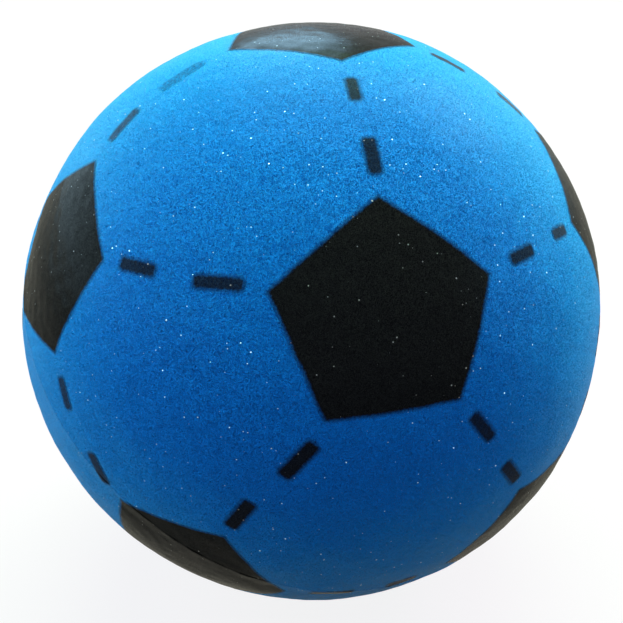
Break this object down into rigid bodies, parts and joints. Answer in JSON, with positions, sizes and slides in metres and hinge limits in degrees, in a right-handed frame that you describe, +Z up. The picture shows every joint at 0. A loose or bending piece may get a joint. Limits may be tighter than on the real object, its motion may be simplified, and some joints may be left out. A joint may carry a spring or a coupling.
{
  "type": "soft soccer ball",
  "caption": "Soft blue foam soccer ball, its halves glued along a faint seam and printed with black pentagons and short dashes, for kicking and throwing indoors.",
  "frame": {"origin": "centre of the ball", "axes": "+Z up through the middle of the top pentagon, -Y to the front over the front pentagon of the upper ring, +X to the right"},
  "size_m": [0.2, 0.2, 0.2],
  "materials": {
    "foam": "matt open-cell foam with a fine grain and a velvety rim",
    "ink": "matt black print soaked into the foam, with the foam's grain showing through",
    "glue": "dull dried contact adhesive"
  },
  "bodies": {
    "root": {"foam_half_upper": "foam", "foam_half_lower": "foam", "glue_film": "glue", "pentagon_top": "ink", "pentagon_upper_front": "ink", "pentagon_upper_right": "ink", "pentagon_upper_back_right": "ink", "pentagon_upper_back_left": "ink", "pentagon_upper_left": "ink", "pentagon_lower_front_right": "ink", "pentagon_lower_right": "ink", "pentagon_lower_back": "ink", "pentagon_lower_left": "ink", "pentagon_lower_front_left": "ink", "pentagon_bottom": "ink", "dashes_top_to_upper_front": "ink", "dashes_top_to_upper_right": "ink", "dashes_top_to_upper_back_right": "ink", "dashes_top_to_upper_back_left": "ink", "dashes_top_to_upper_left": "ink", "dashes_upper_front_to_upper_right": "ink", "dashes_upper_front_to_upper_left": "ink", "dashes_upper_front_to_lower_front_right": "ink", "dashes_upper_front_to_lower_front_left": "ink", "dashes_upper_right_to_upper_back_right": "ink", "dashes_upper_right_to_lower_front_right": "ink", "dashes_upper_right_to_lower_right": "ink", "dashes_upper_back_right_to_upper_back_left": "ink", "dashes_upper_back_right_to_lower_right": "ink", "dashes_upper_back_right_to_lower_back": "ink", "dashes_upper_back_left_to_upper_left": "ink", "dashes_upper_back_left_to_lower_back": "ink", "dashes_upper_back_left_to_lower_left": "ink", "dashes_upper_left_to_lower_left": "ink", "dashes_upper_left_to_lower_front_left": "ink", "dashes_lower_front_right_to_lower_right": "ink", "dashes_lower_front_right_to_lower_front_left": "ink", "dashes_lower_front_right_to_bottom": "ink", "dashes_lower_right_to_lower_back": "ink", "dashes_lower_right_to_bottom": "ink", "dashes_lower_back_to_lower_left": "ink", "dashes_lower_back_to_bottom": "ink", "dashes_lower_left_to_lower_front_left": "ink", "dashes_lower_left_to_bottom": "ink", "dashes_lower_front_left_to_bottom": "ink"}
  },
  "joints": []
}
